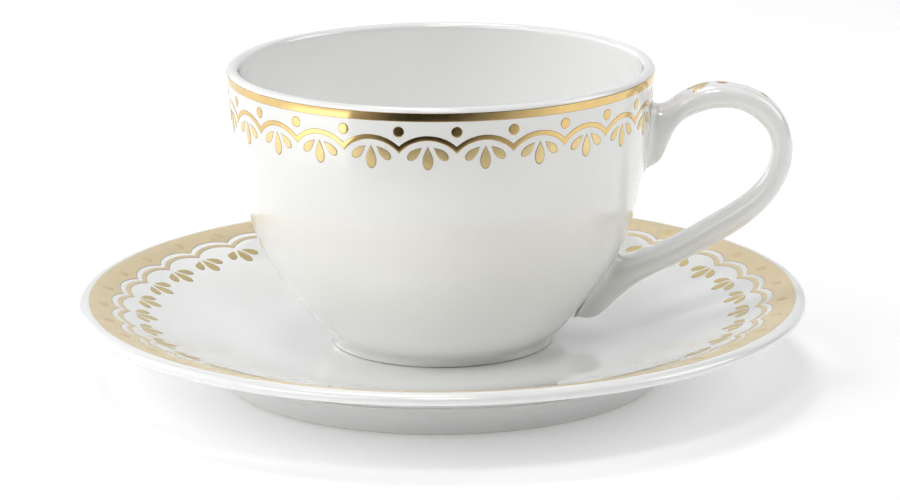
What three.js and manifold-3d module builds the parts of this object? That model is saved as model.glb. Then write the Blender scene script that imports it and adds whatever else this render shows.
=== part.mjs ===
// A teacup on its saucer: glazed porcelain with fired gold decoration.
// Millimetres, +Z up. The origin is the centre of the saucer's foot ring, on the surface it stands on,
// and the cup's handle points along +X.
import * as THREE from "three";
import { mergeVertices } from "three/addons/utils/BufferGeometryUtils.js";
import Module from "manifold-3d";

const wasm = await Module();
wasm.setup();

// ---------------------------------------------------------------- driving dimensions

const SAUCER_RADIUS = 75;
const SAUCER_HEIGHT = 17.25; // top of the rounded edge
const SAUCER_EDGE = { reach: 2, drop: 1.35, under: 1 }; // its upper rounding's width and height, its lower's radius
const SAUCER_FLOOR = 7.2; // top of the flat middle, where the cup stands
const SAUCER_BASE = 3.3; // thickness of the flat middle
const SAUCER_FLAT = 36; // radius of the flat middle
const SAUCER_BREAK = { r: 64.2, z: 14.7 }; // where the rise eases into the flatter rim
const SAUCER_FOOT = { outer: 45.4, inner: 42.1, bevel: 0.7 };

const SEAT_GAP = 0.05; // between the cup's foot and the saucer's floor
const CUP_HEIGHT = 58; // foot to lip
const CUP_LIP_RADIUS = 43.5; // outside of the lip
const CUP_LIP = 2.3; // thickness of the rounded lip
const CUP_WALL = 3; // thickness of the wall at the belly
const CUP_FLOOR = 5.8; // inside of the bottom, above the foot
const CUP_FOOT = { outer: 22.85, inner: 20.4, recess: 2.2 };
const CUP_Z = SAUCER_FLOOR + SEAT_GAP; // height of the cup's foot above the table

const HANDLE_SIDES = 12; // of the strap's cross-section
const LUTING = 0.3; // thickness of the slip that joins the handle to the wall
const LUTING_GAP = 0.05; // on each side of the slip
const LUTING_SPREAD = 0.5; // how far the slip stands out around the root

const GOLD = 0.15; // thickness of the gold
const GOLD_GAP = 0.06; // between the gold and the glaze
const CUP_RIM_BAND = { low: 62.6, high: 64.3 }; // heights above the table
const CUP_SCALLOPS = 24;
const CUP_SCALLOP_TURN = THREE.MathUtils.degToRad(4); // azimuth of the first cusp
const CUP_LINE = { width: 1.05, cusp: 56.9, crest: 59.3 }; // heights of the line's middle
const CUP_DOT = { radius: 1.1, z: 60.5 };
const SAUCER_SCALLOPS = 36;
const SAUCER_SCALLOP_TURN = THREE.MathUtils.degToRad(5);
const SAUCER_BAND = { outer: 72.8, cusp: 66.5, crest: 68.3 }; // radii
const SAUCER_LINE = { width: 1.05, cusp: 64.95, crest: 66.7 }; // radii of the line's middle

const CUP_SEGMENTS = 2 * CUP_SCALLOPS;
const SAUCER_SEGMENTS = 2 * SAUCER_SCALLOPS;
const EDGE_STEPS = 3; // round each of the saucer edge's roundings
const RISE_STEPS = 10; // along the saucer's rise
const WALL_STEPS = 20; // up the outside of the cup's wall
const INSIDE_STEPS = 11; // down the inside of it
const STEPS_PER_SCALLOP = 4;
const DOT_SIDES = 10;

// ---------------------------------------------------------------- materials

function material(name, color, roughness, metalness) {
  const made = new THREE.MeshStandardMaterial({ color, roughness, metalness });
  made.name = name;
  return made;
}

const porcelain = () => material("porcelain", 0xf4f5f3, 0.08, 0);
const glazedSlip = () => material("slip", 0xeeeeea, 0.15, 0);
const brightGold = () => material("bright_gold", 0xc9a24a, 0.12, 1);
const paleGold = () => material("pale_gold", 0xdec896, 0.35, 1);

// ---------------------------------------------------------------- geometry helpers

const point = (r, z) => new THREE.Vector2(r, z);

// Points on a circular arc in an outline's plane, its ends included.
function arc(centre, radius, fromDegrees, toDegrees, steps) {
  return Array.from({ length: steps + 1 }, (_, i) => {
    const angle = THREE.MathUtils.degToRad(THREE.MathUtils.lerp(fromDegrees, toDegrees, i / steps));
    return point(centre.x + radius * Math.cos(angle), centre.y + radius * Math.sin(angle));
  });
}

// The solid of revolution, about Z, of an outline of (radius, height) points.
function revolve(outline, segments) {
  return new THREE.LatheGeometry(outline, segments).rotateX(Math.PI / 2);
}

// A closed surface through rings of points: capped at both ends, or joined end to end.
function loft(rings, joined = false) {
  const sides = rings[0].length;
  const index = [];
  const at = (ring, side) => (ring % rings.length) * sides + (side % sides);
  const spans = joined ? rings.length : rings.length - 1;
  for (let ring = 0; ring < spans; ring++) {
    for (let side = 0; side < sides; side++) {
      index.push(at(ring, side), at(ring, side + 1), at(ring + 1, side + 1));
      index.push(at(ring, side), at(ring + 1, side + 1), at(ring + 1, side));
    }
  }
  for (let side = 1; !joined && side < sides - 1; side++) {
    index.push(at(0, 0), at(0, side + 1), at(0, side));
    index.push(at(spans, 0), at(spans, side), at(spans, side + 1));
  }
  return new THREE.BufferGeometry().setFromPoints(rings.flat()).setIndex(index);
}

function toSolid(geometry) {
  const bare = geometry.clone();
  bare.deleteAttribute("normal");
  bare.deleteAttribute("uv");
  const merged = mergeVertices(bare, 1e-3);
  const vertProperties = merged.attributes.position.array;
  const triVerts = new Uint32Array(merged.index.array);
  return new wasm.Manifold(new wasm.Mesh({ numProp: 3, vertProperties, triVerts }));
}

function toGeometry(solid) {
  const mesh = solid.getMesh();
  const positions = new THREE.BufferAttribute(new Float32Array(mesh.vertProperties), 3);
  const index = new THREE.BufferAttribute(new Uint32Array(mesh.triVerts), 1);
  return new THREE.BufferGeometry().setAttribute("position", positions).setIndex(index);
}

function piece(name, geometry, look) {
  const mesh = new THREE.Mesh(geometry, look);
  mesh.name = name;
  return mesh;
}

// ---------------------------------------------------------------- the saucer

// The saucer's edge, from its underside round to its top: a small rounding below and a wider one above.
function saucerEdgeOutline() {
  const { reach, drop, under } = SAUCER_EDGE;
  const [underside, outermost, nextUp, top] = [-73, 0, 22, 88]; // degrees round the two roundings
  const z = SAUCER_HEIGHT - drop;
  const lower = arc(point(SAUCER_RADIUS - under, z), under, underside, outermost, EDGE_STEPS);
  const upper = arc(point(0, 0), 1, nextUp, top, EDGE_STEPS);
  return [...lower, ...upper.map((p) => point(SAUCER_RADIUS - reach + p.x * reach, z + p.y * drop))];
}

const saucerEdge = saucerEdgeOutline();
const saucerRimEnd = saucerEdge.at(-1);

// Height of the saucer's upper face on its flatter rim, where the gold lies.
function saucerRimHeight(r) {
  const share = (r - SAUCER_BREAK.r) / (saucerRimEnd.x - SAUCER_BREAK.r);
  return THREE.MathUtils.lerp(SAUCER_BREAK.z, saucerRimEnd.y, share);
}

function saucerGeometry() {
  const { outer, inner, bevel } = SAUCER_FOOT;
  const under = SAUCER_FLOOR - SAUCER_BASE;
  const foot = [
    point(0, under),
    point(inner - 2, under),
    point(inner - 0.9, under - 0.7),
    point(inner, bevel),
    point(inner + bevel, 0),
    point(outer - bevel, 0),
    point(outer, bevel),
    point(outer + 0.9, under),
    point(outer + 3.1, under + 1.7),
    point(66, 12.5),
  ];
  const rise = new THREE.SplineCurve([
    point(SAUCER_BREAK.r, SAUCER_BREAK.z),
    point(60, 13.2),
    point(56, 11.8),
    point(50, 10),
    point(42, 7.8),
    point(SAUCER_FLAT, SAUCER_FLOOR),
  ]);
  const outline = [...foot, ...saucerEdge, ...rise.getPoints(RISE_STEPS), point(0, SAUCER_FLOOR)];
  return revolve(outline, SAUCER_SEGMENTS);
}

// ---------------------------------------------------------------- the cup's bowl

// The outside of the wall, from the foot to the lip: radius against height above the foot.
const cupWall = new THREE.SplineCurve([
  point(CUP_FOOT.outer, 0.8),
  point(23.05, 1.6),
  point(24.1, 2.75),
  point(25.9, 4.2),
  point(28.8, 7.75),
  point(32, 12),
  point(37, 20),
  point(40, 29),
  point(42.05, 40),
  point(43.2, 52),
  point(CUP_LIP_RADIUS, CUP_HEIGHT - CUP_LIP / 2),
]);
const INSIDE_END = 0.43; // share of the wall's length where its inside turns into the floor

// Points on the wall between two shares of its length, moved outwards by a distance along its normal.
function wallPoints(from, to, steps, outwards) {
  return Array.from({ length: steps + 1 }, (_, i) => {
    const share = THREE.MathUtils.lerp(from, to, i / steps);
    const tangent = cupWall.getTangent(share);
    const distance = outwards(share);
    return cupWall.getPoint(share).add(point(tangent.y * distance, -tangent.x * distance));
  });
}

// Radius of the cup's outside at a height above the table.
function cupRadiusAt(z) {
  let low = 0;
  let high = 1;
  for (let halving = 0; halving < 30; halving++) {
    const middle = (low + high) / 2;
    if (cupWall.getPoint(middle).y + CUP_Z < z) low = middle;
    else high = middle;
  }
  return cupWall.getPoint(low).x;
}

function cupBodyGeometry() {
  const { outer, inner, recess } = CUP_FOOT;
  const foot = [
    point(0, recess),
    point(inner - 1.2, recess),
    point(inner, 0.8),
    point(inner + 0.4, 0),
    point(outer - 0.3, 0),
  ];
  const lipCentre = point(CUP_LIP_RADIUS - CUP_LIP / 2, CUP_HEIGHT - CUP_LIP / 2);
  const lip = arc(lipCentre, CUP_LIP / 2, 30, 150, 4);
  const thickness = (share) => -THREE.MathUtils.lerp(CUP_WALL, CUP_LIP, share);
  const inside = wallPoints(1, INSIDE_END, INSIDE_STEPS, thickness);
  const floor = [point(21.5, CUP_FLOOR + 1.3), point(14, CUP_FLOOR + 0.2), point(0, CUP_FLOOR)];
  const outside = wallPoints(0, 1, WALL_STEPS, () => 0);
  const outline = [...foot, ...outside, ...lip, ...inside, ...floor];
  return revolve(outline, CUP_SEGMENTS).translate(0, 0, CUP_Z);
}

// The cup's outer shape as a filled solid, grown outwards: what the handle and its slip are cut to.
// It runs past the foot and the lip.
function cupEnvelope(growth) {
  const wall = wallPoints(0, 1, WALL_STEPS, () => growth);
  const [below, above] = [-5, CUP_HEIGHT + 7];
  const bottom = [point(0, below), point(wall[0].x, below)];
  const top = [point(wall.at(-1).x, above), point(0, above)];
  const outline = [...bottom, ...wall, ...top];
  return toSolid(revolve(outline, CUP_SEGMENTS).translate(0, 0, CUP_Z));
}

// ---------------------------------------------------------------- the handle

// The strap's outer and inner edges in the XZ plane, from inside the wall at the upper root, round the
// finger loop, to inside the wall at the lower root, with the strap's full width across Y at each.
const HANDLE_STATIONS = [
  { outer: [39.0, 55.6], inner: [38.5, 42.4], width: 9.6 },
  { outer: [45.4, 56.4], inner: [44.0, 44.1], width: 9.2 },
  { outer: [48.6, 58.5], inner: [46.0, 47.4], width: 8.2 },
  { outer: [52.6, 60.3], inner: [48.6, 52.4], width: 7.6 },
  { outer: [58.2, 60.7], inner: [56.8, 55.5], width: 7.4 },
  { outer: [64.9, 58.8], inner: [62.2, 54.6], width: 7.2 },
  { outer: [70.0, 54.0], inner: [66.2, 51.2], width: 7.0 },
  { outer: [72.0, 47.0], inner: [67.6, 46.8], width: 7.0 },
  { outer: [70.3, 39.8], inner: [66.2, 41.5], width: 7.0 },
  { outer: [65.6, 33.5], inner: [62.0, 36.9], width: 7.2 },
  { outer: [57.1, 27.5], inner: [54.4, 32.1], width: 7.4 },
  { outer: [47.6, 22.5], inner: [45.0, 26.7], width: 7.6 },
  { outer: [41.1, 19.3], inner: [39.9, 24.7], width: 8.0 },
  { outer: [35.6, 15.0], inner: [37.4, 24.4], width: 8.6 },
  { outer: [31.0, 11.4], inner: [35.4, 25.2], width: 8.9 },
  { outer: [27.2, 11.7], inner: [33.0, 24.6], width: 9.1 },
];
const HANDLE_STEPS = 2 * (HANDLE_STATIONS.length - 1);
const SECTION_POWER = 2.5; // 2 is an ellipse, and more is squarer
const UPPER_ROOT_STEPS = 6; // steps of the strap that reach into the wall at the upper root
const LOWER_ROOT_STEPS = 7;

const rail = (edge) => new THREE.SplineCurve(HANDLE_STATIONS.map((s) => point(...s[edge])));
const outerRail = rail("outer");
const innerRail = rail("inner");

function strapWidth(share) {
  const place = share * (HANDLE_STATIONS.length - 1);
  const station = Math.min(Math.floor(place), HANDLE_STATIONS.length - 2);
  const { width } = HANDLE_STATIONS[station];
  return THREE.MathUtils.lerp(width, HANDLE_STATIONS[station + 1].width, place - station);
}

// One rounded cross-section of the strap, grown outwards all round.
function strapSection(share, growth) {
  const outer = outerRail.getPoint(share);
  const inner = innerRail.getPoint(share);
  const middle = outer.clone().add(inner).multiplyScalar(0.5);
  const across = outer.clone().sub(inner).multiplyScalar(0.5);
  across.setLength(across.length() + growth);
  const halfWidth = strapWidth(share) / 2 + growth;
  return Array.from({ length: HANDLE_SIDES }, (_, i) => {
    const angle = (2 * Math.PI * (i + 0.5)) / HANDLE_SIDES;
    const rounded = (value) => Math.sign(value) * Math.abs(value) ** (2 / SECTION_POWER);
    const along = rounded(Math.cos(angle));
    const side = -rounded(Math.sin(angle)) * halfWidth;
    return new THREE.Vector3(middle.x + across.x * along, side, middle.y + across.y * along);
  });
}

function strap(from, to, growth) {
  const rings = [];
  for (let step = from; step <= to; step++) rings.push(strapSection(step / HANDLE_STEPS, growth));
  return toSolid(loft(rings));
}

function handleGeometry() {
  const clearOfWall = cupEnvelope(LUTING + 2 * LUTING_GAP);
  return toGeometry(strap(0, HANDLE_STEPS, 0).subtract(clearOfWall));
}

// The thin pad of slip under one root of the handle, following the wall.
function lutingGeometry(from, to) {
  const pad = cupEnvelope(LUTING + LUTING_GAP).subtract(cupEnvelope(LUTING_GAP));
  return toGeometry(strap(from, to, LUTING_SPREAD).intersect(pad));
}

// ---------------------------------------------------------------- the gold

// A repeated round arch: 0 at each cusp and 1 at each crest, as the azimuth goes round.
function arch(turn, pitch, rise, radius) {
  const half = (Math.PI * radius) / pitch;
  const bend = (half * half + rise * rise) / (2 * rise);
  const place = 2 * THREE.MathUtils.euclideanModulo((turn * pitch) / (2 * Math.PI), 1) - 1;
  return (Math.sqrt(bend * bend - (half * place) ** 2) - (bend - rise)) / rise;
}

const polar = (r, angle, z) => new THREE.Vector3(r * Math.cos(angle), r * Math.sin(angle), z);

// A band round the axis, joined end to end, from a function that gives its four corners at an azimuth.
function goldRing(cornersAt, steps, start) {
  const rings = Array.from({ length: steps }, (_, i) => {
    const turn = (2 * Math.PI * i) / steps;
    return cornersAt(turn).map(([r, z]) => polar(r, start + turn, z));
  });
  return loft(rings, true);
}

// The corners of a band on the cup's wall between two heights.
function onCupWall(low, high) {
  const [lowRadius, highRadius] = [cupRadiusAt(low) + GOLD_GAP, cupRadiusAt(high) + GOLD_GAP];
  return [[lowRadius, low], [highRadius, high], [highRadius + GOLD, high], [lowRadius + GOLD, low]];
}

// The corners of a band on the saucer's rim between two radii.
function onSaucerRim(inner, outer) {
  const [low, high] = [saucerRimHeight(inner) + GOLD_GAP, saucerRimHeight(outer) + GOLD_GAP];
  return [[inner, low], [inner, low + GOLD], [outer, high + GOLD], [outer, high]];
}

function cupRimBandGeometry() {
  const corners = onCupWall(CUP_RIM_BAND.low, CUP_RIM_BAND.high);
  return goldRing(() => corners, CUP_SEGMENTS, 0);
}

function cupScallopLineGeometry() {
  const { width, cusp, crest } = CUP_LINE;
  const cornersAt = (turn) => {
    const middle = THREE.MathUtils.lerp(cusp, crest, arch(turn, CUP_SCALLOPS, crest - cusp, CUP_LIP_RADIUS));
    return onCupWall(middle - width / 2, middle + width / 2);
  };
  return goldRing(cornersAt, CUP_SCALLOPS * STEPS_PER_SCALLOP, CUP_SCALLOP_TURN);
}

function saucerScallop(turn, { cusp, crest }) {
  return THREE.MathUtils.lerp(cusp, crest, arch(turn, SAUCER_SCALLOPS, crest - cusp, crest));
}

function saucerBandGeometry() {
  const cornersAt = (turn) => onSaucerRim(saucerScallop(turn, SAUCER_BAND), SAUCER_BAND.outer);
  return goldRing(cornersAt, SAUCER_SCALLOPS * STEPS_PER_SCALLOP, SAUCER_SCALLOP_TURN);
}

function saucerScallopLineGeometry() {
  const half = SAUCER_LINE.width / 2;
  const cornersAt = (turn) => {
    const middle = saucerScallop(turn, SAUCER_LINE);
    return onSaucerRim(middle - half, middle + half);
  };
  return goldRing(cornersAt, SAUCER_SCALLOPS * STEPS_PER_SCALLOP, SAUCER_SCALLOP_TURN);
}

// A round dot of gold standing on the wall over each cusp of the cup's line.
function cupDots() {
  const { radius, z } = CUP_DOT;
  const lean = Math.atan2(cupRadiusAt(z + radius) - cupRadiusAt(z - radius), 2 * radius);
  const wallRadius = cupRadiusAt(z) + GOLD_GAP + GOLD / 2;
  return Array.from({ length: CUP_SCALLOPS }, (_, i) => {
    const disc = new THREE.CylinderGeometry(radius, radius, GOLD, DOT_SIDES).rotateZ(Math.PI / 2);
    const dot = piece(`cup_gold_dot_${String(i + 1).padStart(2, "0")}`, disc, brightGold());
    dot.position.set(wallRadius, 0, z);
    dot.rotation.y = lean;
    const spoke = new THREE.Group();
    spoke.rotation.z = CUP_SCALLOP_TURN + (2 * Math.PI * i) / CUP_SCALLOPS;
    return spoke.add(dot);
  });
}

// ---------------------------------------------------------------- the assembly

const saucerGroup = new THREE.Group().add(
  piece("saucer", saucerGeometry(), porcelain()),
  piece("saucer_gold_band", saucerBandGeometry(), paleGold()),
  piece("saucer_gold_scallop_line", saucerScallopLineGeometry(), paleGold()),
);

const cupGroup = new THREE.Group().add(
  piece("cup_body", cupBodyGeometry(), porcelain()),
  piece("handle", handleGeometry(), porcelain()),
  piece("handle_upper_luting", lutingGeometry(0, UPPER_ROOT_STEPS), glazedSlip()),
  piece("handle_lower_luting", lutingGeometry(HANDLE_STEPS - LOWER_ROOT_STEPS, HANDLE_STEPS), glazedSlip()),
  piece("cup_gold_rim_band", cupRimBandGeometry(), brightGold()),
  piece("cup_gold_scallop_line", cupScallopLineGeometry(), brightGold()),
  ...cupDots(),
);

const teacup = new THREE.Group().add(saucerGroup, cupGroup);
export default teacup;
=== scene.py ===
# A porcelain teacup on its saucer, with fired gold decoration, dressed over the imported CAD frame.
# Lengths are in millimetres until a mesh is made. The floor, the lights and the camera are in metres, as
# the CAD frame is.
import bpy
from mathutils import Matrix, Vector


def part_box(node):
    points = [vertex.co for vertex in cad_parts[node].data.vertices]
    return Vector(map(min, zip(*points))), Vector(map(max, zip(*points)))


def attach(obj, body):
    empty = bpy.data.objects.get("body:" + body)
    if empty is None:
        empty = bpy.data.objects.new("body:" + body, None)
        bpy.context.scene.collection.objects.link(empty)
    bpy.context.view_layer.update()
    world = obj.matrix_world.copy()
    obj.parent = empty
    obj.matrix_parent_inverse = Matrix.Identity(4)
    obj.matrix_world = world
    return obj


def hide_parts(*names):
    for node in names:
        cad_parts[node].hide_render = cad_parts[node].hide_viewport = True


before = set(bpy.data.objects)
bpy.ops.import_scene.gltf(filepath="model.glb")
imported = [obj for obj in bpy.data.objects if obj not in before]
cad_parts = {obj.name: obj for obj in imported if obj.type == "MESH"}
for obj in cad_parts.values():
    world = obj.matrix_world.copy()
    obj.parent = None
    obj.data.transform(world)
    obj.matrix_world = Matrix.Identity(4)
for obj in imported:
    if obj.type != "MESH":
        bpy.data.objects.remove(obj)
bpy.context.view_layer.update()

import math

import bpy
import numpy as np
from mathutils import Matrix, Vector

MM = 0.001


# ---------------------------------------------------------------- sizes

def cad_corner(name, high):
    """A CAD node's lowest or highest corner in millimetres."""
    return np.array(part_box(name)[1 if high else 0]) / MM


SAUCER_RADIUS = cad_corner("saucer", True)[0]
SAUCER_TOP = cad_corner("saucer", True)[2]
SAUCER_FLOOR = 7.2  # top of the flat middle
SAUCER_BASE = 3.3  # thickness of the flat middle
SAUCER_FOOT = (42.1, 45.4)  # inner and outer radius of the foot ring
SAUCER_BARE = 0.35  # height of the unglazed bottom of the foot ring

CUP_LIP_RADIUS = cad_corner("cup_body", True)[0]
CUP_TOP = cad_corner("cup_body", True)[2]
CUP_FOOT_Z = cad_corner("cup_body", False)[2]
CUP_FOOT = (20.3, 22.85)
CUP_BARE = 0.3
CUP_LIP = 2.3  # thickness of the lip
CUP_WALL = 3.0  # thickness of the wall low down
CUP_FLOOR = CUP_FOOT_Z + 5.8  # inside of the bottom
ROUND_STEPS = 320  # round the cup and round the saucer

CUP_MOTIFS = 24
CUP_TURN = math.radians(4)  # azimuth of the first cusp
SAUCER_MOTIFS = 36
SAUCER_TURN = math.radians(5)
GOLD = 0.045  # thickness of the gold above the glaze
SUNK = 0.03  # how far a gold piece's hidden underside lies in the glaze


# ---------------------------------------------------------------- curves

def spline(points, steps):
    """A natural cubic spline through the points, sampled evenly along their chords, ends included."""
    points = np.asarray(points, float)
    gaps = np.linalg.norm(np.diff(points, axis=0), axis=1)
    knots = np.concatenate([[0], np.cumsum(gaps)])
    system = np.eye(len(points))
    bends = np.zeros_like(points)
    slopes = np.diff(points, axis=0) / gaps[:, None]
    for i in range(1, len(points) - 1):
        system[i, i - 1:i + 2] = gaps[i - 1], 2 * (gaps[i - 1] + gaps[i]), gaps[i]
        bends[i] = 6 * (slopes[i] - slopes[i - 1])
    bends = np.linalg.solve(system, bends)
    places = np.linspace(0, knots[-1], steps + 1)
    span = np.clip(np.searchsorted(knots, places, side="right") - 1, 0, len(gaps) - 1)
    gap = gaps[span][:, None]
    before = (knots[span + 1] - places)[:, None] / gap
    after = 1 - before
    curve = (before ** 3 - before) * bends[span] + (after ** 3 - after) * bends[span + 1]
    return before * points[span] + after * points[span + 1] + curve * gap ** 2 / 6


def arc(centre, radius, start, end, steps):
    """Points on a circular arc between two angles in degrees."""
    angles = np.radians(np.linspace(start, end, steps + 1))
    return np.array(centre) + radius * np.column_stack([np.cos(angles), np.sin(angles)])


def polar(radius, angle, height):
    """Cartesian points from cylindrical ones."""
    return np.stack(np.broadcast_arrays(radius * np.cos(angle), radius * np.sin(angle), height), axis=-1)


def travel(points):
    """The distance along a line of points at each of them."""
    return np.concatenate([[0], np.cumsum(np.linalg.norm(np.diff(points, axis=0), axis=1))])


# ---------------------------------------------------------------- meshes

def enclosed_volume(points, faces):
    """Volume inside closed faces, negative when they look inwards."""
    triangles = [(face[0], face[i], face[i + 1]) for face in faces for i in range(1, len(face) - 1)]
    first, second, third = points[np.array(triangles)].transpose(1, 0, 2)
    return (first * np.cross(second, third)).sum() / 6


def add_object(name, data):
    """A new object in the scene."""
    added = bpy.data.objects.new(name, data)
    bpy.context.scene.collection.objects.link(added)
    return added


def make_piece(name, points, faces, material, body, stands_for=()):
    """A smooth-shaded mesh object that rides on a CAD body. Its faces are turned to look outwards."""
    points = np.asarray(points, float)
    if enclosed_volume(points, faces) < 0:
        faces = [face[::-1] for face in faces]
    mesh = bpy.data.meshes.new(name)
    mesh.from_pydata((points * MM).tolist(), [], faces)
    mesh.shade_smooth()
    mesh.materials.append(material)
    piece = add_object(name, mesh)
    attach(piece, body)
    if stands_for:
        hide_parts(*stands_for)
    return piece


def grid_faces(rings, sides, closed_rings=False, start=0):
    """Quads between successive closed rings of points, and from the last to the first when asked."""
    faces = []
    for ring in range(rings if closed_rings else rings - 1):
        here = start + ring * sides
        there = start + ((ring + 1) % rings) * sides
        for side in range(sides):
            after = (side + 1) % sides
            faces.append((here + side, here + after, there + after, there + side))
    return faces


def capped_faces(rings, sides, start=0):
    """Faces of a closed body of rings. Its two end points follow the last ring, the first ring's first."""
    faces = grid_faces(rings, sides, start=start)
    first_end = start + rings * sides
    last_ring = first_end - sides
    for side in range(sides):
        after = (side + 1) % sides
        faces.append((first_end, start + after, start + side))
        faces.append((first_end + 1, last_ring + side, last_ring + after))
    return faces


def revolve(outline):
    """Points and faces of a (radius, height) outline turned round the axis, which it starts and ends on."""
    angles = np.linspace(0, 2 * np.pi, ROUND_STEPS, endpoint=False)
    rings = [polar(radius, angles, height) for radius, height in outline[1:-1]]
    ends = [[[0, 0, outline[0][1]]], [[0, 0, outline[-1][1]]]]
    return np.concatenate([*rings, *ends]), capped_faces(len(rings), ROUND_STEPS)


# ---------------------------------------------------------------- material nodes

def new_material(name):
    """A material, its node tree and its Principled shader."""
    material = bpy.data.materials.new(name)
    material.use_nodes = True
    tree = material.node_tree
    return material, tree, tree.nodes["Principled BSDF"]


def fill_inputs(tree, target, inputs):
    """Sets a node's inputs, by name or by number: each to a number, a colour or another node's output."""
    for key, value in inputs.items():
        socket = target.inputs[key]
        if isinstance(value, bpy.types.NodeSocket):
            tree.links.new(value, socket)
        else:
            socket.default_value = value


def add_node(tree, kind, inputs, **settings):
    """A node with its inputs and its settings."""
    added = tree.nodes.new(kind)
    for key, value in settings.items():
        setattr(added, key, value)
    fill_inputs(tree, added, inputs)
    return added


def object_noise(tree, size, detail, stretch=(1, 1, 1)):
    """Noise with features of about that size in millimetres, in the object's own space."""
    place = add_node(tree, "ShaderNodeTexCoord", {}).outputs["Object"]
    spread = add_node(tree, "ShaderNodeMapping", {"Vector": place, "Scale": stretch}).outputs[0]
    noise = {"Vector": spread, "Scale": 1 / (size * MM), "Detail": detail}
    return add_node(tree, "ShaderNodeTexNoise", noise).outputs["Fac"]


def point_value(tree, name):
    """A number that the mesh stores for each of its points."""
    return add_node(tree, "ShaderNodeAttribute", {}, attribute_name=name).outputs["Fac"]


def mix_colours(tree, share, first, second):
    """A colour between two, by a share."""
    return add_node(tree, "ShaderNodeMix", {0: share, 6: first, 7: second}, data_type="RGBA").outputs[2]


def remap(tree, value, low, high, start=0.3, end=0.7):
    """A value moved from its range to another. Most of a noise lies between 0.3 and 0.7."""
    ranges = {"Value": value, "From Min": start, "From Max": end, "To Min": low, "To Max": high}
    return add_node(tree, "ShaderNodeMapRange", ranges).outputs[0]


def bumps(tree, layers):
    """The surface's normal bent by layers of (height, depth in millimetres), one on another."""
    normal = {}
    for height, depth in layers:
        inputs = {"Height": height, "Distance": depth * MM, "Strength": 1, **normal}
        normal = {"Normal": add_node(tree, "ShaderNodeBump", inputs).outputs["Normal"]}
    return normal


def shaded(colour, share):
    """A colour darkened to a share of its brightness."""
    return [channel * share for channel in colour[:3]] + [1]


# ---------------------------------------------------------------- materials

WHITE = (0.935, 0.94, 0.928, 1)
SPECK = (0.55, 0.5, 0.42, 1)


def glazed_porcelain():
    """White porcelain with faint clouds and specks, under a clear glaze with waves and orange peel."""
    material, tree, shader = new_material("glazed_porcelain")
    clouds = remap(tree, object_noise(tree, 28, 3), 0, 1)
    specks = remap(tree, object_noise(tree, 0.55, 0), 0, 0.22, start=0.83, end=0.86)
    clouded = mix_colours(tree, clouds, WHITE, shaded(WHITE, 0.972))
    waves = object_noise(tree, 38, 1)
    throwing_rings = object_noise(tree, 14, 1, stretch=(0.25, 0.25, 2.2))
    orange_peel = object_noise(tree, 1.6, 1)
    fill_inputs(tree, shader, {
        "Base Color": mix_colours(tree, specks, clouded, SPECK),
        "Roughness": remap(tree, object_noise(tree, 9, 2), 0.16, 0.24),
        "IOR": 1.5,
        "Coat Weight": 1,
        "Coat Roughness": 0.015,
        "Coat IOR": 1.5,
        **bumps(tree, [(waves, 0.16), (throwing_rings, 0.035), (orange_peel, 0.0012)]),
    })
    return material


def bare_porcelain():
    """Unglazed, matt, slightly gritty porcelain on the foot rings."""
    material, tree, shader = new_material("bare_porcelain")
    grit = object_noise(tree, 0.5, 4)
    patches = remap(tree, grit, 0, 1)
    fill_inputs(tree, shader, {
        "Base Color": mix_colours(tree, patches, (0.86, 0.84, 0.8, 1), (0.76, 0.73, 0.68, 1)),
        "Roughness": remap(tree, grit, 0.6, 0.85),
        **bumps(tree, [(grit, 0.02)]),
    })
    return material


def fired_gold(name, colour, edge, roughness, patchiness, peel, coat=0):
    """Fired gold: its tone and gloss vary, it has brush lines, and painted shade darkens its edges."""
    material, tree, shader = new_material(name)
    patches = remap(tree, object_noise(tree, 3.2, 3), 0, 1)
    tone = mix_colours(tree, patches, colour, shaded(colour, 1 - patchiness))
    brush_lines = object_noise(tree, 0.25, 2, stretch=(1, 1, 4))
    fill_inputs(tree, shader, {
        # the edge colour is painted shade, mixed in by each point's share of it
        "Base Color": mix_colours(tree, point_value(tree, "edge"), tone, edge),
        "Roughness": remap(tree, object_noise(tree, 1.1, 3), roughness * 0.75, roughness * 1.3),
        "Metallic": 1,
        "Coat Weight": coat,
        "Coat Roughness": 0.12,
        **bumps(tree, [(object_noise(tree, 2.4, 2), peel), (brush_lines, peel * 0.12)]),
    })
    return material


porcelain = glazed_porcelain()
unglazed = bare_porcelain()
# Each gold's second colour is the painted shade at its edges, where the raised gold meets the glaze.
bright_gold = fired_gold("bright_gold", (0.85, 0.61, 0.26, 1), (0.26, 0.13, 0.04, 1),
                         roughness=0.12, patchiness=0.1, peel=0.004)
matt_gold = fired_gold("matt_gold", (0.97, 0.78, 0.41, 1), (0.16, 0.09, 0.04, 1),
                       roughness=0.42, patchiness=0.12, peel=0.006)
pale_gold = fired_gold("pale_gold", (1, 0.84, 0.55, 1), (0.5, 0.41, 0.34, 1),
                       roughness=0.46, patchiness=0.05, peel=0.004, coat=0.35)
dull_gold = fired_gold("dull_gold", (0.93, 0.77, 0.45, 1), (0.74, 0.58, 0.33, 1),
                       roughness=0.5, patchiness=0.15, peel=0.008, coat=0.35)
soft_gold = fired_gold("soft_gold", (0.86, 0.7, 0.34, 1), (0.5, 0.4, 0.2, 1),
                       roughness=0.46, patchiness=0.1, peel=0.006, coat=0.35)

STEEP = 0.4  # a face is steep when less than this share of its normal is along Z


def bare_below(piece, height):
    """Leaves a piece's faces below a height, in millimetres, without glaze, apart from the steep ones."""
    piece.data.materials.append(unglazed)
    for face in piece.data.polygons:
        if face.center.z < height * MM and abs(face.normal.z) > STEEP:
            face.material_index = 1


# ---------------------------------------------------------------- the saucer

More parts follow.
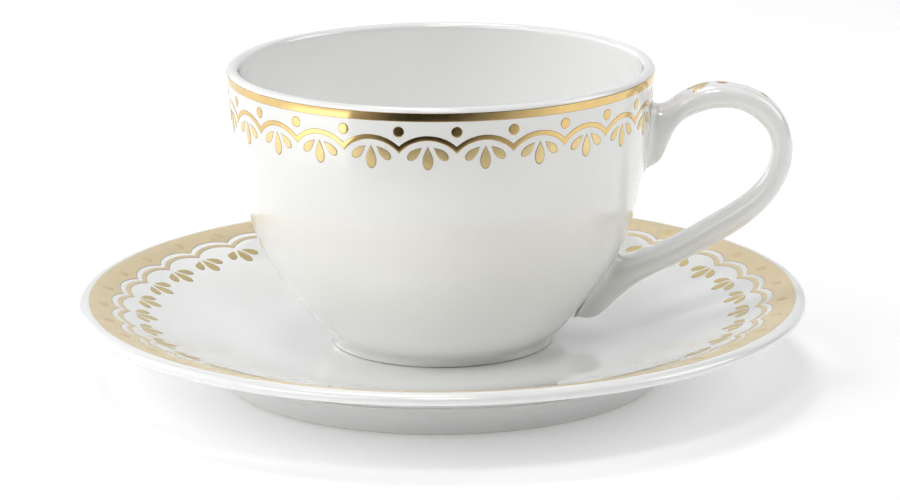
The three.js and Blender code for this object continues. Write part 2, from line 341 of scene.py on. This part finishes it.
EDGE_REACH, EDGE_DROP = 2.0, 1.35  # width and height of the upper rounding of the edge
EDGE_UNDER = 1.0  # radius of the lower rounding
EDGE_CENTRE = (SAUCER_RADIUS - EDGE_REACH, SAUCER_TOP - EDGE_DROP)  # of the upper rounding
SAUCER_RISE = spline([
    (0, SAUCER_FLOOR), (18, SAUCER_FLOOR), (33, SAUCER_FLOOR + 0.03), (42, 7.8), (50, 10.0), (56, 11.8),
    (60, 13.15), (64, 14.6), (66.5, 15.45), (70, 16.5), (EDGE_CENTRE[0], SAUCER_TOP),
], 240)


def saucer_height(radius):
    """Height of the saucer's upper face at a radius."""
    return np.interp(radius, SAUCER_RISE[:, 0], SAUCER_RISE[:, 1])


def saucer_outline():
    """The saucer's section: out along the underside, round the edge and back along the upper face."""
    inner, outer = SAUCER_FOOT
    under = SAUCER_FLOOR - SAUCER_BASE
    corner = 0.6  # radius of the foot ring's corners
    recess = [
        (8, under + 0.12), (24, under + 0.05), (inner - 3, under), (inner - 1.2, under - 0.7), (inner, 0.9),
    ]
    underside = [
        (outer + 0.25, 1.6), (outer + 1.0, 3.6), (outer + 3.3, 5.7), (57, 9.2), (66, 12.5), (71.5, 14.2),
    ]
    upper_rounding = arc((0, 0), 1, 0, 84, 16) * (EDGE_REACH, EDGE_DROP)
    return np.concatenate([
        [(0, under + 0.15)],
        spline(recess, 40),
        arc((inner + corner, corner), corner, 180, 270, 6),
        arc((outer - corner, corner), corner, 270, 350, 6),
        spline(underside, 70),
        arc((SAUCER_RADIUS - EDGE_UNDER, EDGE_CENTRE[1]), EDGE_UNDER, -73, 0, 10),
        EDGE_CENTRE + upper_rounding[1:],
        SAUCER_RISE[::-1],
    ])


def make_saucer():
    points, faces = revolve(saucer_outline())
    saucer = make_piece("saucer_porcelain", points, faces, porcelain, "saucer", ["saucer"])
    bare_below(saucer, SAUCER_BARE)


# ---------------------------------------------------------------- the cup's bowl

CUP_OUTSIDE = spline([
    (CUP_FOOT[1], 0.6), (23.0, 1.2), (24.0, 2.35), (25.9, 4.05), (28.8, 7.75), (32, 12), (37, 20), (40, 29),
    (42.05, 40), (43.2, 52), (CUP_LIP_RADIUS, CUP_TOP - CUP_FOOT_Z - CUP_LIP / 2),
], 180) + (0, CUP_FOOT_Z)
WALL_START = 7  # height above the foot from which the inside follows the outside


def cup_radius(height):
    """Radius of the cup's outside at a height above the table."""
    return np.interp(height, CUP_OUTSIDE[:, 1], CUP_OUTSIDE[:, 0])


def inside_wall():
    """The wall's inside, from the lip down: its outside moved in square to itself, less at the lip."""
    wall = CUP_OUTSIDE[CUP_OUTSIDE[:, 1] > CUP_FOOT_Z + WALL_START][::-1]
    tangent = np.gradient(wall, axis=0)
    tangent /= np.linalg.norm(tangent, axis=1)[:, None]
    thickness = np.linspace(CUP_LIP, CUP_WALL, len(wall))[:, None]
    return wall + thickness * np.column_stack([tangent[:, 1], -tangent[:, 0]])


def cup_outline():
    """The bowl's section: out under the foot, up the outside, over the lip and down the inside."""
    inner, outer = CUP_FOOT
    base = CUP_FOOT_Z
    inner_corner, outer_corner = 0.5, 0.3  # radii of the foot ring's corners
    lip_centre = (CUP_LIP_RADIUS - CUP_LIP / 2, CUP_TOP - CUP_LIP / 2)
    wall = inside_wall()
    end = wall[-1]
    recess = [(6, base + 2.28), (14, base + 2.2), (inner - 1.4, base + 1.9), (inner - 0.2, base + 0.9)]
    bottom = [
        end, (end[0] - 4.6, CUP_FLOOR + 1.55), (14, CUP_FLOOR + 0.25), (6, CUP_FLOOR), (0, CUP_FLOOR),
    ]
    return np.concatenate([
        [(0, base + 2.3)],
        spline(recess, 24),
        arc((inner + inner_corner, base + inner_corner), inner_corner, 180, 270, 5),
        arc((outer - outer_corner, base + outer_corner), outer_corner, 270, 360, 6),
        CUP_OUTSIDE,
        arc(lip_centre, CUP_LIP / 2, 8, 172, 20),
        wall[2:],
        spline(bottom, 40)[1:],
    ])


def make_cup():
    points, faces = revolve(cup_outline())
    cup = make_piece("cup_porcelain", points, faces, porcelain, "cup", ["cup_body"])
    bare_below(cup, CUP_FOOT_Z + CUP_BARE)


# ---------------------------------------------------------------- the handle

# The strap's outer and inner edges in the XZ plane and its width across Y, from inside the wall at the
# upper root, round the finger loop, to inside the wall at the lower root.
HANDLE = np.array([
    (40.6, 56.0, 39.6, 42.9, 8.6),
    (43.4, 56.2, 42.0, 43.2, 8.5),
    (45.6, 56.5, 44.3, 44.3, 8.3),
    (48.6, 58.4, 46.0, 47.5, 7.9),
    (52.6, 60.2, 48.4, 52.2, 7.5),
    (58.2, 60.7, 56.6, 55.5, 7.3),
    (64.9, 58.8, 62.2, 54.6, 7.1),
    (70.0, 54.0, 66.2, 51.2, 7.0),
    (72.0, 47.0, 67.6, 46.8, 7.0),
    (70.3, 39.8, 66.2, 41.5, 7.0),
    (65.6, 33.5, 62.0, 36.9, 7.1),
    (57.1, 27.5, 54.4, 32.1, 7.3),
    (47.6, 22.5, 45.0, 26.8, 7.5),
    (41.1, 19.3, 39.9, 24.7, 7.9),
    (35.6, 15.0, 37.4, 24.4, 8.3),
    (31.0, 11.4, 35.4, 25.2, 8.5),
    (27.2, 11.7, 33.0, 24.6, 8.6),
])
RAILS = spline(HANDLE, 320)
STATIONS = np.arange(len(RAILS))
HANDLE_SIDES = 120
SECTION_POWER = 2.5  # 2 is an ellipse, and more is squarer
SECTION_WIDTH = 1.4  # of the strap, in depths
FILLET = 1.7  # radius of the slip wiped round each root


def signed_power(part):
    """A sine or cosine reshaped, so that a circle of them becomes the strap's squarer section."""
    return np.sign(part) * np.abs(part) ** (2 / SECTION_POWER)


def even_section(sides):
    """Angles round the strap's section that space its points evenly, from the outer edge."""
    angles = np.linspace(0, 2 * np.pi, 4001)
    outline = np.column_stack([signed_power(np.cos(angles)), signed_power(np.sin(angles)) * SECTION_WIDTH])
    travelled = travel(outline)
    return np.interp(np.linspace(0, travelled[-1], sides, endpoint=False), travelled, angles)


def strap_points(station, side):
    """Points on the strap, from stations along its rails and angles round it, 0 at the outer edge."""
    outer_x, outer_z, inner_x, inner_z, width = [np.interp(station, STATIONS, rail) for rail in RAILS.T]
    along, across = signed_power(np.cos(side)), signed_power(np.sin(side))
    x = (outer_x + inner_x) / 2 + (outer_x - inner_x) / 2 * along
    z = (outer_z + inner_z) / 2 + (outer_z - inner_z) / 2 * along
    return np.stack([x, across * width / 2, z], axis=-1)


def distance_to_wall(points):
    """How far points stand off the cup's outside, measured square to it."""
    height = points[..., 2]
    lean = cup_radius(height + 0.5) - cup_radius(height - 0.5)
    return (np.hypot(points[..., 0], points[..., 1]) - cup_radius(height)) / np.sqrt(1 + lean ** 2)


def wipe_fillets(points):
    """Spreads the strap near the wall, so that each root flows into it on a round fillet."""
    gap = np.clip(distance_to_wall(points), 0, FILLET)
    spread = FILLET - np.sqrt(FILLET ** 2 - (FILLET - gap) ** 2)
    centre = points.mean(axis=1, keepdims=True)
    outward = points - centre
    outward /= np.linalg.norm(outward, axis=-1, keepdims=True)
    return points + outward * spread[..., None]


def make_handle():
    """The strap, with the slip wiped round its roots. It ends inside the wall."""
    rings = wipe_fillets(strap_points(STATIONS[:, None], -even_section(HANDLE_SIDES)[None, :]))
    points = np.concatenate([rings.reshape(-1, 3), rings[:1].mean(axis=1), rings[-1:].mean(axis=1)])
    faces = capped_faces(len(rings), HANDLE_SIDES)
    stands_for = ["handle", "handle_upper_luting", "handle_lower_luting"]
    make_piece("handle_porcelain", points, faces, porcelain, "cup", stands_for)


# ---------------------------------------------------------------- gold bands and lines

# Across one side of a band: the share of its outline's width, the height as a share of the gold's
# thickness, and how much painted shade it has, where the raised gold meets the glaze.
BAND_SIDE = [(0, -SUNK / GOLD, 1), (0, 0.4, 1), (0.3, 0.85, 0.8), (1, 1, 0)]
BAND_CROWN = 1.03  # height of a band's middle, in thicknesses of the gold
BAND_STEPS = 480  # round a plain band
SCALLOP_STEPS = 36  # along each scallop

CUP_LINE_CREST, CUP_LINE_CUSP = 59.3, 56.9  # heights of the line's middle
CUP_LINE_HALF = 0.5  # half its width
SAUCER_LINE_CREST, SAUCER_LINE_CUSP = 66.65, 64.9  # radii of the line's middle
SAUCER_LINE_HALF = 0.53
SAUCER_BAND_CREST, SAUCER_BAND_CUSP = 68.3, 66.5  # radii of the band's inner edge
SAUCER_BAND_OUTER = 72.85
SAUCER_SCALLOP_RADIUS = 66  # where the saucer's scallops have their pitch


def mark_edge_shade(piece, edge_shade):
    """Stores how much painted shade each point of the gold has, for its material."""
    attribute = piece.data.attributes.new("edge", "FLOAT", "POINT")
    attribute.data.foreach_set("value", np.asarray(edge_shade, np.float32))


def make_ribbon(name, low, high, angles, surface, material, body, stands_for, outlines=(0.1, 0.1)):
    """A thin closed band round the axis between two edges, laid on a surface. Its outlines carry painted
    shade.
    """
    low_side = [surface(low + share * outlines[0], angles, rise * GOLD) for share, rise, _ in BAND_SIDE]
    crown = surface((low + high) / 2, angles, BAND_CROWN * GOLD)
    high_side = [surface(high - share * outlines[1], angles, rise * GOLD) for share, rise, _ in BAND_SIDE]
    rings = [*low_side, crown, *high_side[::-1]]
    faces = grid_faces(len(angles), len(rings), closed_rings=True)
    points = np.stack(rings, axis=1).reshape(-1, 3)
    piece = make_piece(name, points, faces, material, body, stands_for)
    # painted shade on the band's outlines, none on its crown
    dark = [edge_shade for _, _, edge_shade in BAND_SIDE]
    mark_edge_shade(piece, np.tile([*dark, 0, *dark[::-1]], len(angles)))


def on_cup(height, angle, lift):
    """A place on the cup's outside, lifted off it."""
    return polar(cup_radius(height) + lift, angle, height)


def on_saucer(radius, angle, lift):
    """A place on the saucer's upper face, lifted off it."""
    return polar(radius, angle, saucer_height(radius) + lift)


def scallops(count, turn, crest, cusp, radius, offset):
    """A row of round arches: each point's angle and its place across. An offset moves the edge outwards."""
    pitch = 2 * np.pi / count
    half = pitch * radius / 2
    rise = crest - cusp
    bend = (half ** 2 + rise ** 2) / (2 * rise)
    share = np.tile(np.linspace(-1, 1, SCALLOP_STEPS, endpoint=False), count)
    angles = turn + pitch * np.repeat(np.arange(count), SCALLOP_STEPS) + pitch * (share + 1) / 2
    return angles, crest - bend + np.sqrt((bend + offset) ** 2 - (half * share) ** 2)


def scalloped_line(count, turn, crest, cusp, radius, half_width):
    """The angles, lower edge and upper edge of a line of scallops."""
    angles, low = scallops(count, turn, crest, cusp, radius, -half_width)
    _, high = scallops(count, turn, crest, cusp, radius, half_width)
    return angles, low, high


def make_cup_bands():
    angles = np.linspace(0, 2 * np.pi, BAND_STEPS, endpoint=False)
    even = np.ones_like(angles)
    low = cad_corner("cup_gold_rim_band", False)[2] * even
    high = cad_corner("cup_gold_rim_band", True)[2] * even
    make_ribbon("cup_rim_band", low, high, angles, on_cup, bright_gold, "cup",
                ["cup_gold_rim_band"])
    angles, low, high = scalloped_line(CUP_MOTIFS, CUP_TURN, CUP_LINE_CREST, CUP_LINE_CUSP,
                                       CUP_LIP_RADIUS, CUP_LINE_HALF)
    make_ribbon("cup_scallop_line", low, high, angles, on_cup, bright_gold, "cup",
                ["cup_gold_scallop_line"])


def make_saucer_bands():
    angles, inner = scallops(SAUCER_MOTIFS, SAUCER_TURN, SAUCER_BAND_CREST, SAUCER_BAND_CUSP,
                             SAUCER_SCALLOP_RADIUS, 0)
    outer = np.full_like(inner, SAUCER_BAND_OUTER)
    make_ribbon("saucer_band", inner, outer, angles, on_saucer, pale_gold, "saucer",
                ["saucer_gold_band"], outlines=(0.22, 0.03))
    angles, low, high = scalloped_line(SAUCER_MOTIFS, SAUCER_TURN, SAUCER_LINE_CREST, SAUCER_LINE_CUSP,
                                       SAUCER_SCALLOP_RADIUS, SAUCER_LINE_HALF)
    make_ribbon("saucer_scallop_line", low, high, angles, on_saucer, pale_gold, "saucer",
                ["saucer_gold_scallop_line"], outlines=(0.18, 0.05))


# ---------------------------------------------------------------- gold dots and petals

# From a patch's edge to its middle: the share of its outline's size, the height as a share of the
# gold's thickness, and how much painted shade it has, where the raised gold meets the glaze.
PATCH_RINGS = [(1, -SUNK / GOLD, 1), (1, 0.5, 1), (0.93, 1, 0.25), (0.8, 1.15, 0), (0.4, 1.3, 0)]
PATCH_TOP = 1.35  # height of a patch's middle, in thicknesses of the gold
DOT = 1.1  # radius of a dot
HANDLE_SECOND_DOT = 0.95  # radius of the handle's smaller dot
DOT_SIDES = 28
PETAL_STEPS = 15  # along each of a petal's sides
PETAL_WIDEST = 0.64  # how far along it a petal is widest
PETAL_POINT = 1.15  # more draws the tip out finer
SIDE_PETAL_WIDTH = 0.82  # of a trio's side petals, in widths of its middle one
SIDE_PETAL_DROP = 0.2  # how far their tips are below its tip

CUP_DOT_HEIGHT = 60.5
CUP_PETAL_TIP = 57.7  # height of the tips
SAUCER_DOT_RADIUS = 69.9  # radius of the circle that they lie on
SAUCER_PETAL_TIP = 63.5  # radius of the tips
SAUCER_PETAL_RADIUS = 62  # where the petals have their width
HANDLE_FIRST_DOT = 57.3  # X of the first dot's middle
HANDLE_SECOND_PLACE = 9.4  # distance along the strap from the first dot to the second
HANDLE_PETAL_TIP = -2.5  # distance along the strap from the first dot, towards the cup


def teardrop(length, width, tip, direction):
    """A petal's outline: pointed at its tip, round at its far end, laid out from the tip in a direction."""
    share = (1 - np.cos(np.linspace(0, np.pi, PETAL_STEPS))) / 2
    flank = np.sin(np.pi / 2 * np.minimum(share / PETAL_WIDEST, 1)) ** PETAL_POINT
    cap = np.sqrt(np.clip(1 - ((share - PETAL_WIDEST) / (1 - PETAL_WIDEST)).clip(0) ** 2, 0, 1))
    half = width / 2 * flank * cap
    along = np.concatenate([share, share[-2:0:-1]]) * length
    side = np.concatenate([half, -half[-2:0:-1]])
    ahead = np.array([math.sin(direction), -math.cos(direction)])
    beside = np.array([ahead[1], -ahead[0]])
    return np.asarray(tip) + along[:, None] * ahead + side[:, None] * beside


def disc(place, radius):
    """A round outline on the middle line of its motif, at a place along that line."""
    angles = np.linspace(0, -2 * np.pi, DOT_SIDES, endpoint=False)
    return np.array((0, place)) + radius * np.column_stack([np.cos(angles), np.sin(angles)])


def trio(tip, long, short, wide, spread, splay):
    """Outlines of three petals that fan from their tips: a middle one, and one shorter to each side."""
    splay = math.radians(splay)
    middle = teardrop(long, wide, (0, tip), 0)
    side_tip = tip - SIDE_PETAL_DROP
    sides = [
        teardrop(short, wide * SIDE_PETAL_WIDTH, (spread * way, side_tip), splay * way) for way in (-1, 1)
    ]
    return [middle, *sides]


def make_patches(name, outlines, surface, material, body, stands_for=()):
    """Small closed patches of gold: each outline lies on the surface with a softly domed top."""
    points, faces, edge_shade = [], [], []
    for outline in outlines:
        centre = outline.mean(axis=0)
        spokes = outline - centre
        rings = [surface(centre + spokes * share, rise * GOLD) for share, rise, _ in PATCH_RINGS]
        ends = [surface(centre[None], rise * GOLD) for rise in (-SUNK / GOLD, PATCH_TOP)]
        points += [*rings, *ends]
        faces += capped_faces(len(rings), len(outline), start=len(edge_shade))
        # painted shade round each patch's outline, none on its middle
        edge_shade += [*np.repeat([dark for _, _, dark in PATCH_RINGS], len(outline)), 0, 0]
    piece = make_piece(name, np.concatenate(points), faces, material, body, stands_for)
    mark_edge_shade(piece, edge_shade)


def round_the_axis(outlines, count, turn, radius):
    """Copies flat outlines of (distance round, place across) round the axis, as (angle, place across)."""
    copies = []
    for motif in range(count):
        middle = turn + 2 * np.pi * motif / count
        copies += [np.column_stack([middle + flat[:, 0] / radius, flat[:, 1]]) for flat in outlines]
    return copies


def cup_surface(places, lift):
    """Points on the cup's outside from (angle, height)."""
    return on_cup(places[:, 1], places[:, 0], lift)


def saucer_surface(places, lift):
    """Points on the saucer's upper face from (angle, radius)."""
    return on_saucer(places[:, 1], places[:, 0], lift)


def saucer_gold_surface(places, lift):
    """Points on the gold band of the saucer from (angle, radius)."""
    return saucer_surface(places, lift + GOLD)


STRAP_TRAVEL = travel(RAILS[:, :2])
FURTHEST = RAILS[:, 0].argmax()  # the station furthest from the cup
FIRST_DOT_TRAVEL = np.interp(HANDLE_FIRST_DOT, RAILS[:FURTHEST, 0], STRAP_TRAVEL[:FURTHEST])
FLANK = 0.98  # how far towards the strap's sides its gold may reach


def handle_surface(places, lift):
    """Points on the handle's outer face from (distance across, distance along it from the first dot)."""
    station = np.interp(FIRST_DOT_TRAVEL + places[:, 1], STRAP_TRAVEL, STATIONS)
    width = np.interp(station, STATIONS, RAILS[:, 4])
    side = np.clip(places[:, 0] / (width / 2), -FLANK, FLANK)
    angle = np.arcsin(np.sign(side) * np.abs(side) ** (SECTION_POWER / 2))
    base = strap_points(station, angle)
    above = base - strap_points(station, angle + np.pi)
    above[:, 1] = 0
    above /= np.linalg.norm(above, axis=1)[:, None]
    return base + above * lift


def make_cup_motifs():
    dots = round_the_axis([disc(CUP_DOT_HEIGHT, DOT)], CUP_MOTIFS, CUP_TURN, CUP_LIP_RADIUS)
    make_patches("cup_dots", dots, cup_surface, bright_gold, "cup",
                 [f"cup_gold_dot_{i + 1:02d}" for i in range(CUP_MOTIFS)])
    fan = trio(CUP_PETAL_TIP, long=4.8, short=3.8, wide=2.15, spread=1.1, splay=48)
    petals = round_the_axis(fan, CUP_MOTIFS, CUP_TURN + math.pi / CUP_MOTIFS, CUP_LIP_RADIUS)
    make_patches("cup_petals", petals, cup_surface, matt_gold, "cup")


def make_saucer_motifs():
    fan = trio(SAUCER_PETAL_TIP, long=4.7, short=3.8, wide=2.5, spread=1.0, splay=50)
    petals = round_the_axis(fan, SAUCER_MOTIFS, SAUCER_TURN, SAUCER_PETAL_RADIUS)
    make_patches("saucer_petals", petals, saucer_surface, soft_gold, "saucer")
    dots = round_the_axis([disc(SAUCER_DOT_RADIUS, DOT)], SAUCER_MOTIFS, SAUCER_TURN, SAUCER_DOT_RADIUS)
    make_patches("saucer_dots", dots, saucer_gold_surface, dull_gold, "saucer")


def make_handle_motifs():
    petals = trio(0, long=4.8, short=3.6, wide=1.7, spread=0.7, splay=27)
    petals = [flat + (0, HANDLE_PETAL_TIP) for flat in petals]
    make_patches("handle_petals", petals, handle_surface, matt_gold, "cup")
    dots = [disc(0, DOT), disc(HANDLE_SECOND_PLACE, HANDLE_SECOND_DOT)]
    make_patches("handle_dots", dots, handle_surface, bright_gold, "cup")


# ---------------------------------------------------------------- the floor and the cards on it

FLOOR_Z = -0.00003  # just under the foot ring
FLOOR_HALF = 4.0  # half its width
FLOOR_GLOW = 0.195  # strength of its own light, which keeps it white

# Two soft-edged cards lie before the cup, and only reflections see them: they give the gold its dark and
# its bright tones. The cover is how much of the floor a card hides, by azimuth in degrees and by distance
# from the axis in millimetres.
FLAG_COVER = [
    (-46, 0), (-45, 0.62), (-36, 0.75), (-30, 0.87), (-24, 0.95), (-16, 0.98), (0, 0.97),
    (8, 0.92), (20, 0.8), (28, 0.66), (36, 0.5), (44, 0.34), (54, 0.15), (62, 0),
]
FLAG_REACH = [(120, 0), (150, 0.6), (180, 1), (1200, 1)]
GLOW_COVER = [(-90, 0), (-80, 0.35), (-72, 0.8), (-60, 1), (-46.2, 1), (-45.6, 0)]
GLOW_REACH = [(150, 0), (185, 0.9), (205, 1), (245, 1), (300, 0)]
CARD_HEIGHT = 0.5  # above the table


def make_floor():
    """A plain pale floor with faint clouds."""
    material, tree, shader = new_material("pale_floor")
    clouds = remap(tree, object_noise(tree, 120, 2), 0, 1)
    fill_inputs(tree, shader, {
        "Base Color": mix_colours(tree, clouds, (0.9, 0.9, 0.9, 1), (0.87, 0.87, 0.87, 1)),
        "Roughness": 0.9,
        "Specular IOR Level": 0.1,
        "Emission Color": (1, 1, 1, 1),
        "Emission Strength": FLOOR_GLOW,
    })
    corners = [(x * FLOOR_HALF, y * FLOOR_HALF, FLOOR_Z) for x, y in [(-1, -1), (1, -1), (1, 1), (-1, 1)]]
    mesh = bpy.data.meshes.new("floor")
    mesh.from_pydata(corners, [], [(0, 1, 2, 3)])
    mesh.materials.append(material)
    floor = add_object("floor", mesh)


def card_material(name, glow):
    """A black or glowing card that is clear wherever it covers nothing."""
    material, tree, shader = new_material(name)
    fill_inputs(tree, shader, {
        "Base Color": (0.01, 0.01, 0.01, 1),
        "Specular IOR Level": 0,
        "Emission Color": (1, 0.97, 0.88, 1),
        "Emission Strength": glow,
    })
    clear = add_node(tree, "ShaderNodeBsdfTransparent", {}).outputs[0]
    layers = {0: point_value(tree, "cover"), 1: clear, 2: shader.outputs[0]}
    mixed = add_node(tree, "ShaderNodeMixShader", layers).outputs[0]
    fill_inputs(tree, tree.nodes["Material Output"], {"Surface": mixed})
    return material


def make_card(name, cover, reach, glow):
    """A card from its cover by azimuth and its cover by distance. It casts no shadow."""
    azimuths, across = np.array(cover, float).T
    distances, along = np.array(reach, float).T
    turn, distance = np.meshgrid(np.radians(azimuths), distances)
    points = polar(distance, turn - math.pi / 2, CARD_HEIGHT)
    columns = len(azimuths)
    faces = []
    for row in range(len(distances) - 1):
        for column in range(columns - 1):
            first = row * columns + column
            faces.append((first, first + 1, first + columns + 1, first + columns))
    mesh = bpy.data.meshes.new(name)
    mesh.from_pydata((points.reshape(-1, 3) * MM).tolist(), [], faces)
    mesh.materials.append(card_material(name, glow))
    covers = mesh.attributes.new("cover", "FLOAT", "POINT")
    covers.data.foreach_set("value", np.outer(along, across).ravel())
    card = add_object(name, mesh)
    card.visible_camera = False
    card.visible_diffuse = False
    card.visible_shadow = False


# ---------------------------------------------------------------- light and camera

AIM = (0, 0, 0.03)  # where the lamps point
COOL = (0.965, 0.985, 1)  # a faintly blue white
WORLD_LIGHT = 0.02  # strength of the even light from all round

CAMERA_PLACE = (0, -0.742, 0.220)
CAMERA_PITCH, CAMERA_YAW, CAMERA_ROLL = 0.256, 0.0022, -0.007  # radians
CAMERA_LENS = 148.72  # focal length in millimetres
CAMERA_SENSOR = 36  # width in millimetres


def softbox(name, azimuth, elevation, distance, width, height, power, colour=(1, 1, 1)):
    """A rectangular area light aimed at the cup. Azimuth 0 is on the camera's side, and 90 on +X."""
    turn, lift = math.radians(azimuth), math.radians(elevation)
    ahead = np.array([math.sin(turn) * math.cos(lift), -math.cos(turn) * math.cos(lift), math.sin(lift)])
    lamp = bpy.data.lights.new(name, "AREA")
    lamp.shape = "RECTANGLE"
    lamp.size = width
    lamp.size_y = height
    lamp.energy = power
    lamp.color = colour
    light = add_object(name, lamp)
    light.location = np.array(AIM) + ahead * distance
    light.rotation_euler = Vector(ahead).to_track_quat("Z", "Y").to_euler()


def make_lights():
    """Soft boxes over the set and all round it."""
    softbox("overhead", -135, 78, 1.3, 0.42, 0.42, 4.0)
    softbox("tent_left", -90, 30, 1.3, 1.5, 1.3, 7.2)
    softbox("left_back", -130, 12, 1.4, 1.0, 0.5, 2.8, COOL)
    softbox("front_left", -45, 35, 1.3, 0.8, 0.8, 4.7)
    softbox("front", -2, 59, 1.4, 0.36, 0.26, 3.0)
    softbox("right_mid", 90, 32, 1.3, 0.7, 0.7, 4.7)
    softbox("right_high", 85, 62, 1.3, 0.9, 0.7, 1.3)
    softbox("cyclorama", 180, 20, 1.7, 3.4, 1.3, 9.6, COOL)
    softbox("back_top", 180, 60, 1.5, 1.2, 0.6, 1.2)


def make_world():
    world = bpy.data.worlds.new("studio")
    world.use_nodes = True
    background = world.node_tree.nodes["Background"]
    fill_inputs(world.node_tree, background, {"Color": (1, 1, 1, 1), "Strength": WORLD_LIGHT})
    bpy.context.scene.world = world


def make_camera():
    camera = bpy.data.cameras.new("camera")
    camera.sensor_width = CAMERA_SENSOR
    camera.lens = CAMERA_LENS
    viewer = add_object("camera", camera)
    yaw = Matrix.Rotation(-CAMERA_YAW, 4, "Z")
    pitch = Matrix.Rotation(math.pi / 2 - CAMERA_PITCH, 4, "X")
    roll = Matrix.Rotation(CAMERA_ROLL, 4, "Z")
    viewer.matrix_world = Matrix.Translation(CAMERA_PLACE) @ yaw @ pitch @ roll
    bpy.context.scene.camera = viewer


# ---------------------------------------------------------------- everything in its order

make_saucer()
make_cup()
make_handle()
make_cup_bands()
make_saucer_bands()
make_cup_motifs()
make_saucer_motifs()
make_handle_motifs()
make_floor()
make_card("black_flag", FLAG_COVER, FLAG_REACH, 0)
make_card("glow_card", GLOW_COVER, GLOW_REACH, 2.2)
make_world()
make_lights()
make_camera()
bpy.context.scene.view_settings.view_transform = "Standard"
